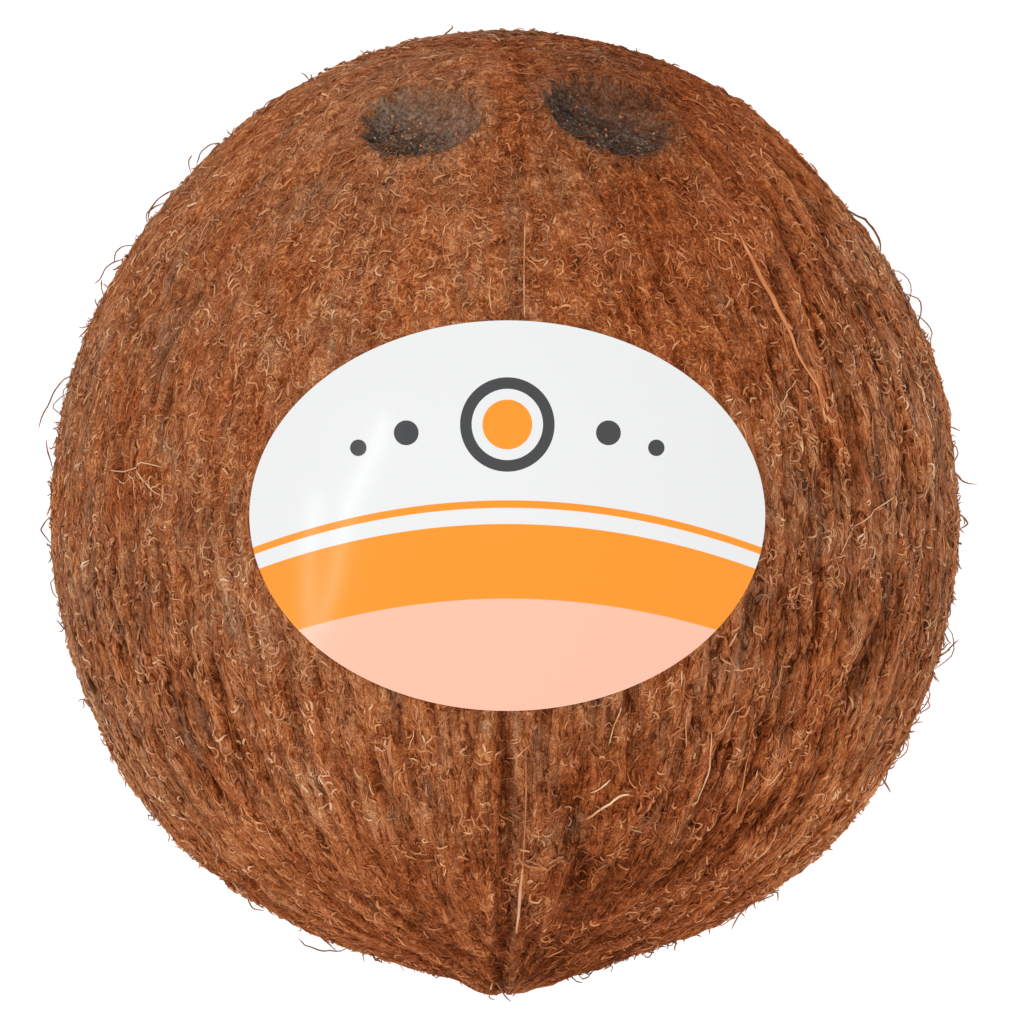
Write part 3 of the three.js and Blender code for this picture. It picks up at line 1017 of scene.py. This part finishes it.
def make_strands(
    name, seed, material, count, steps, tuft_spread, length, half_width, aside, wander, lift, rise, tone,
    tuft=2, flatness=1.0, curl=0.0, sides=3, arch=False, chance=None, hue=None, in_eyes=False,
):
    """Tufts of strands that crawl over the coir, with their sizes in millimetres. A tuft's strands start
    within tuft_spread of each other and wander alike; each also curls evenly one way. A strand is
    lens-shaped, its height over the coir is lift plus rise times s^2, or sin(pi s) when it arches, and its
    lower ends dip into the coir. Chance is a function that gives the share of strands to keep in each
    direction."""
    tuft_spread, length, half_width, lift, rise = (
        np.array(size) * MM for size in (tuft_spread, length, half_width, lift, rise)
    )
    rng = np.random.default_rng(seed)
    tufts = (directions_in_eyes if in_eyes else random_directions)(rng, -(-count // tuft))
    of_tuft = np.arange(count) % len(tufts)
    starts = unit(tufts[of_tuft] * BELLY_RADIUS + rng.normal(0, tuft_spread, (count, 3)))
    heading = rng.normal(0, aside, len(tufts))[of_tuft] + rng.normal(0, 0.3 * aside, count)
    forth = np.where(rng.random(count) < 0.5, -1.0, 1.0)
    turns = rng.normal(0, wander, (len(tufts), steps - 1))[of_tuft]
    turns = turns + rng.normal(0, 0.5 * wander, (count, steps - 1))
    turns = turns + rng.normal(0, curl, (count, 1))
    lengths = between(length, rng.beta(1.4, 2.4, count))
    ways = crawl(starts, heading, turns, 1.0 if curl else 0.8, lengths * forth)
    lift = rng.uniform(*lift, count)
    rise = between(rise, rng.beta(1.0, 2.2, count))
    thick = rng.uniform(*half_width, count)
    base = between(tone, rng.beta(2.0, 2.4, count))
    hue_shift = rng.normal(0, 0.10, count)
    luck = rng.random(count)

    keep = (nearest_eye(ways).min(axis=1) > 1.0) & (label_distance(ways).min(axis=1) > 0.96)
    middle = ways[:, steps // 2]
    keep &= luck > read_grid(BARE, middle)
    keep |= in_eyes
    if chance is not None:
        keep &= rng.random(count) < chance(middle)
    ways, lift, rise, thick, base, hue_shift = (a[keep] for a in (ways, lift, rise, thick, base, hue_shift))

    share = np.linspace(0, 1, steps)[None]
    settled = np.maximum(smoothstep(0.35 * MM, 0.1 * MM, rise), arch)[:, None]
    dip = (1 - share) ** 4 + settled * share**4
    bow = np.sin(np.pi * share) if arch else share**2
    over = lift[:, None] + rise[:, None] * bow - 0.3 * MM * dip
    over = over * smoothstep(1.0, 1.045, label_distance(ways))
    over = over - 0.25 * MM * (1 - smoothstep(0.98, 1.01, label_distance(ways)))
    paths = ways * (coir_reach(ways) + over)[..., None]
    widths = thick[:, None] * np.sin(np.pi * (0.12 + 0.80 * share)) ** 0.6
    depth = np.clip(read_grid(COIR["height"], ways), -1.2, 0.3)
    # Darker where the coir under a strand is low and lighter where it is high, partly dirt and partly
    # painted light and shade as on the coir, and lighter towards a strand's last end.
    tones = base[:, None] + 0.16 * depth + 0.10 * (share - 0.4) + read_grid(COIR["tone"], ways)
    own_hue = read_grid(COIR["hue"], middle[keep])[:, None] * 0.75 + 0.10 if hue is None else hue
    hues = own_hue + hue_shift[:, None] + 0 * share
    build_strands(name, paths, ways, widths, widths * flatness, sides, tones, hues, material)


def picked_paths(routes, steps):
    """Smooth curves through each route's places, evenly spaced: the directions under their pixels, and how
    far they are off the coir, in millimetres, where the routes have a third number."""
    paths = []
    for route in routes:
        corners = np.asarray(route, float)
        run = np.concatenate([[0], np.cumsum(np.hypot(*np.diff(corners[:, :2], axis=0).T))])
        at = np.linspace(0, run[-1], 4 * steps)
        fine = columns(*(np.interp(at, run, column) for column in corners.T))
        for _ in range(2 * steps // len(corners)):
            fine[1:-1] = (fine[:-2] + 2 * fine[1:-1] + fine[2:]) / 4
        paths.append(fine[np.linspace(0, len(fine) - 1, steps).astype(int)])
    paths = np.stack(paths)
    return under_pixel(paths[..., :2]), paths[..., 2:].sum(axis=-1)


def make_picked_strands(name, strands, lift, hue, flatness, material, steps=12, sides=3):
    """Strands laid along given routes, each with a half width in millimetres, a tone and its route. They
    taper to both ends, and bow off the coir by their lift in millimetres. Lift and hue are one number for
    all the strands, or one for each."""
    half_width, tone = (np.array([strand[i] for strand in strands])[:, None] for i in (0, 1))
    lift, hue = (np.broadcast_to(value, len(strands))[:, None] for value in (lift, hue))
    ways, aloft = picked_paths([strand[2] for strand in strands], steps)
    share = np.linspace(0, 1, steps)[None]
    over = (aloft + lift * np.sin(np.pi * share) ** 0.5) * MM
    paths = ways * (coir_reach(ways) + over)[..., None]
    rough = 1 + np.minimum(0.5, 0.05 / half_width) * patches(ways, 1.0, 18)
    widths = half_width * MM * np.sin(np.pi * (0.06 + 0.88 * share)) ** 0.5 * rough
    tones = tone + 0.12 * patches(ways, 1.5, 15)
    build_strands(name, paths, ways, widths, widths * flatness, sides, tones, hue + 0 * share, material)


def make_crumbs(material):
    """Crumbs of coir in the eyes: octahedra, stretched, turned at random and half sunk into the pit."""
    rng = np.random.default_rng(CRUMB_SEED)
    ways = directions_in_eyes(rng, CRUMBS)
    corners = np.concatenate([np.eye(3), -np.eye(3)])
    upper = [[0, 1, 2], [1, 3, 2], [3, 4, 2], [4, 0, 2]]
    lower = [[1, 0, 5], [3, 1, 5], [4, 3, 5], [0, 4, 5]]
    sides = np.array(upper + lower)
    size = between((0.08, 0.30), rng.beta(1.2, 2.6, CRUMBS))[:, None, None] * MM
    size = size * rng.uniform(0.6, 1.4, (CRUMBS, 1, 3))
    first = unit(rng.normal(size=(CRUMBS, 3)))
    second = unit(np.cross(first, rng.normal(size=(CRUMBS, 3))))
    axes = np.stack([first, second, np.cross(first, second)], axis=1)
    seats = ways * (coir_reach(ways) + 0.05 * MM)[:, None]
    points = lie_down(seats[:, None] + (corners * size) @ axes).reshape(-1, 3)
    faces = (np.arange(CRUMBS)[:, None, None] * 6 + sides).reshape(-1, 3)
    tones = np.repeat(0.30 + 0.50 * rng.beta(1.4, 2.0, CRUMBS), 6)
    hues = np.repeat(rng.uniform(0.5, 0.95, CRUMBS), 6)
    chart = columns(tones, hues)[faces.ravel()]
    build_piece("eye_crumbs", points, [faces], material, {"tone": tones, "hue": hues}, chart)


# The label.


def make_label(material):
    """A thin oval sheet: rings of the unit disc stretched to the oval, at the height over the plan where
    the plain surface plus the label's lift is, found by repeated substitution, with a slight waviness."""
    ring = (np.arange(1, LABEL_RINGS + 1) / LABEL_RINGS) ** 0.9
    turn = 2 * np.pi * np.arange(LABEL_COLUMNS) / LABEL_COLUMNS
    radius, angle = np.meshgrid(ring, turn, indexing="ij")
    disc = columns(radius * np.cos(angle), radius * np.sin(angle)).reshape(-1, 2)
    oval = np.concatenate([[[0, 0]], disc * (LABEL_HALF_WIDTH, LABEL_HALF_HEIGHT)])
    plan = oval + LABEL_MIDDLE - MIDDLE[:2]
    waves = 0.05 * MM * hashed_noise(np.pad(plan, ((0, 0), (0, 1))) / (7 * MM), SEED + 31)

    def sheet(lift):
        """The points of one side of the sheet."""
        height = np.full(len(plan), BELLY_RADIUS)
        for _ in range(30):
            away = unit(np.concatenate([plan, height[:, None]], axis=-1))
            reach = model_reach(turned_back(away)) + lift + waves
            height = np.sqrt(reach**2 - np.sum(plan**2, axis=-1))
        return np.concatenate([plan, height[:, None]], axis=-1) + MIDDLE

    points = np.concatenate([sheet(LABEL_LIFT + LABEL_THICKNESS), sheet(LABEL_LIFT)])
    size = len(plan)
    index = 1 + np.arange(LABEL_RINGS * LABEL_COLUMNS).reshape(LABEL_RINGS, LABEL_COLUMNS)
    quads, middle = ring_quads(index), fan(0, index[0])
    edge = ring_quads(np.stack([index[-1], index[-1] + size]))
    faces = [quads, middle, quads[:, ::-1] + size, middle[:, ::-1] + size, edge]
    piece = build_piece("label_sheet", points, faces, material)
    piece.data.set_sharp_from_angle(angle=np.radians(40))
    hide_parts("label")


# The stage.


def make_lamp(name, place, size, power, gloss_only=False, lean=0.0):
    """A soft lamp that looks at the nut, turned about its own axis by its lean. It isn't seen itself, and
    it either lights everything and doesn't show in gloss, or only shows in gloss."""
    lamp = bpy.data.lights.new(name, "AREA")
    lamp.shape = "RECTANGLE"
    lamp.size, lamp.size_y = size
    lamp.energy = power
    holder = bpy.data.objects.new(name, lamp)
    holder.location = place
    holder.rotation_mode = "QUATERNION"
    facing = Vector(np.array(place) - MIDDLE).to_track_quat("Z", "Y")
    holder.rotation_quaternion = facing @ Quaternion((0, 0, 1), lean)
    holder.visible_camera = False
    holder.visible_glossy = gloss_only
    holder.visible_diffuse = not gloss_only
    bpy.context.scene.collection.objects.link(holder)


def make_stage():
    """A pale floor that glows a little, light from all round, four lamps, and the camera over the nut."""
    scene = bpy.context.scene
    bpy.ops.mesh.primitive_plane_add(size=6, location=(0, 0, -0.2 * MM))
    floor = bpy.context.object
    floor.name = "floor"
    pale = {"Base Color": (0.9, 0.9, 0.9, 1), "Roughness": 0.9}
    glow = {"Emission Color": (1, 1, 1, 1), "Emission Strength": 0.28}
    floor.data.materials.append(new_material("floor_paint", {**pale, **glow})[0])

    world = bpy.data.worlds.new("studio")
    world.use_nodes = True
    background = world.node_tree.nodes["Background"]
    background.inputs["Color"].default_value = (1, 1, 1, 1)
    background.inputs["Strength"].default_value = 0.93
    scene.world = world
    scene.view_settings.view_transform = "Standard"

    make_lamp("overhead", (0.0, -0.02, 2.2), (0.7, 0.7), 16.0)
    make_lamp("left_window", (-0.95, 0.35, 1.25), (0.8, 0.8), 1.5)
    make_lamp("gloss_strip", (-0.61, -0.03, 0.69), (0.75, 0.045), 0.6, gloss_only=True, lean=-0.45)
    make_lamp("gloss_strip_aside", (-0.73, -0.20, 0.56), (0.5, 0.05), 0.4, gloss_only=True, lean=-0.35)

    lens = bpy.data.cameras.new("camera")
    lens.sensor_width = 36.0
    lens.lens = lens.sensor_width * CAMERA_DISTANCE / (PICTURE * PIXEL)
    camera = bpy.data.objects.new("camera", lens)
    camera.location = CAMERA_PLACE
    scene.collection.objects.link(camera)
    scene.camera = camera


make_stage()
coir_colour = coir_colour_group()
fibre = fibre_material(coir_colour)
make_matted_coir(matted_coir_material(coir_colour, tangle_group()))
make_label(label_material())
make_crumbs(fibre)

for number in (1, 2, 3):
    make_strands(
        f"laid_fibres_{number}", 100 + number, fibre, count=7400, steps=5, tuft=3, tuft_spread=0.6,
        length=(1.2, 4.6), half_width=(0.09, 0.19), flatness=0.6, aside=0.26, wander=0.42, curl=0.15,
        lift=(-0.04, 0.14), rise=(0.0, 0.18), tone=(0.40, 0.68),
    )
make_strands(
    "flat_bundles", 110, fibre, count=1200, steps=8, sides=4, tuft_spread=1.2, length=(3, 10),
    half_width=(0.18, 0.38), flatness=0.45, aside=0.10, wander=0.10, lift=(-0.12, 0.08), rise=(0.0, 0.1),
    tone=(0.38, 0.60),
)
for number in (1, 2, 3):
    make_strands(
        f"curled_fibres_{number}", 200 + number, fibre, count=9600, steps=6, tuft=4, tuft_spread=0.8,
        length=(1.0, 3.4), half_width=(0.11, 0.21), flatness=0.7, aside=0.8, wander=0.35, curl=0.65,
        lift=(0.05, 0.28), rise=(0.0, 0.40), tone=(0.44, 0.86), chance=curly_share,
    )
make_strands(
    "eye_fibres", 209, fibre, count=260, steps=7, tuft_spread=0.8, length=(1, 3.5),
    half_width=(0.06, 0.11), flatness=0.9, aside=0.8, wander=0.35, curl=0.5, lift=(0.05, 0.2),
    rise=(0.0, 0.3), tone=(0.18, 0.56), hue=0.8, in_eyes=True,
)
make_strands(
    "pale_fibres", 210, fibre, count=1500, steps=7, tuft_spread=0.6, length=(0.8, 5),
    half_width=(0.06, 0.13), flatness=0.8, aside=0.30, wander=0.5, lift=(0.12, 0.30), rise=(0.0, 0.4),
    tone=(0.62, 0.88), chance=pale_share, hue=0.12,
)
make_strands(
    "edge_hooks", 213, fibre, count=5400, steps=5, tuft_spread=0.5, length=(0.7, 2.4),
    half_width=(0.08, 0.13), aside=0.9, wander=0.8, curl=0.8, lift=(0.0, 0.15),
    rise=(0.2, 1.1), tone=(0.34, 0.62), chance=round_the_sides, hue=0.65,
)
make_strands(
    "stray_hairs", 211, fibre, count=760, steps=8, tuft_spread=1.0, length=(1.5, 5),
    half_width=(0.08, 0.12), aside=0.6, wander=0.5, curl=0.4, lift=(0.1, 0.3), rise=(0.3, 1.8),
    tone=(0.34, 0.56), chance=round_the_sides, hue=0.7,
)
make_strands(
    "arched_hairs", 212, fibre, count=260, steps=9, tuft=3, tuft_spread=1.5, length=(3, 9),
    half_width=(0.07, 0.10), aside=0.4, wander=0.25, curl=0.08, lift=(0.0, 0.2),
    rise=(0.4, 1.8), tone=(0.36, 0.54), arch=True, chance=round_the_sides, hue=0.8,
)
make_picked_strands("straws", STRAWS, STRAW_LIFTS, STRAW_HUES, 0.45, fibre, steps=20, sides=5)
make_picked_strands("picked_fibres", PICKED_FIBRES, 0.2, 0.4, 0.7, fibre)
outline_hairs = [(half_width, OUTLINE_TONE, route) for half_width, route in OUTLINE_HAIRS]
make_picked_strands("outline_hairs", outline_hairs, 0.1, 0.85, 0.8, fibre)
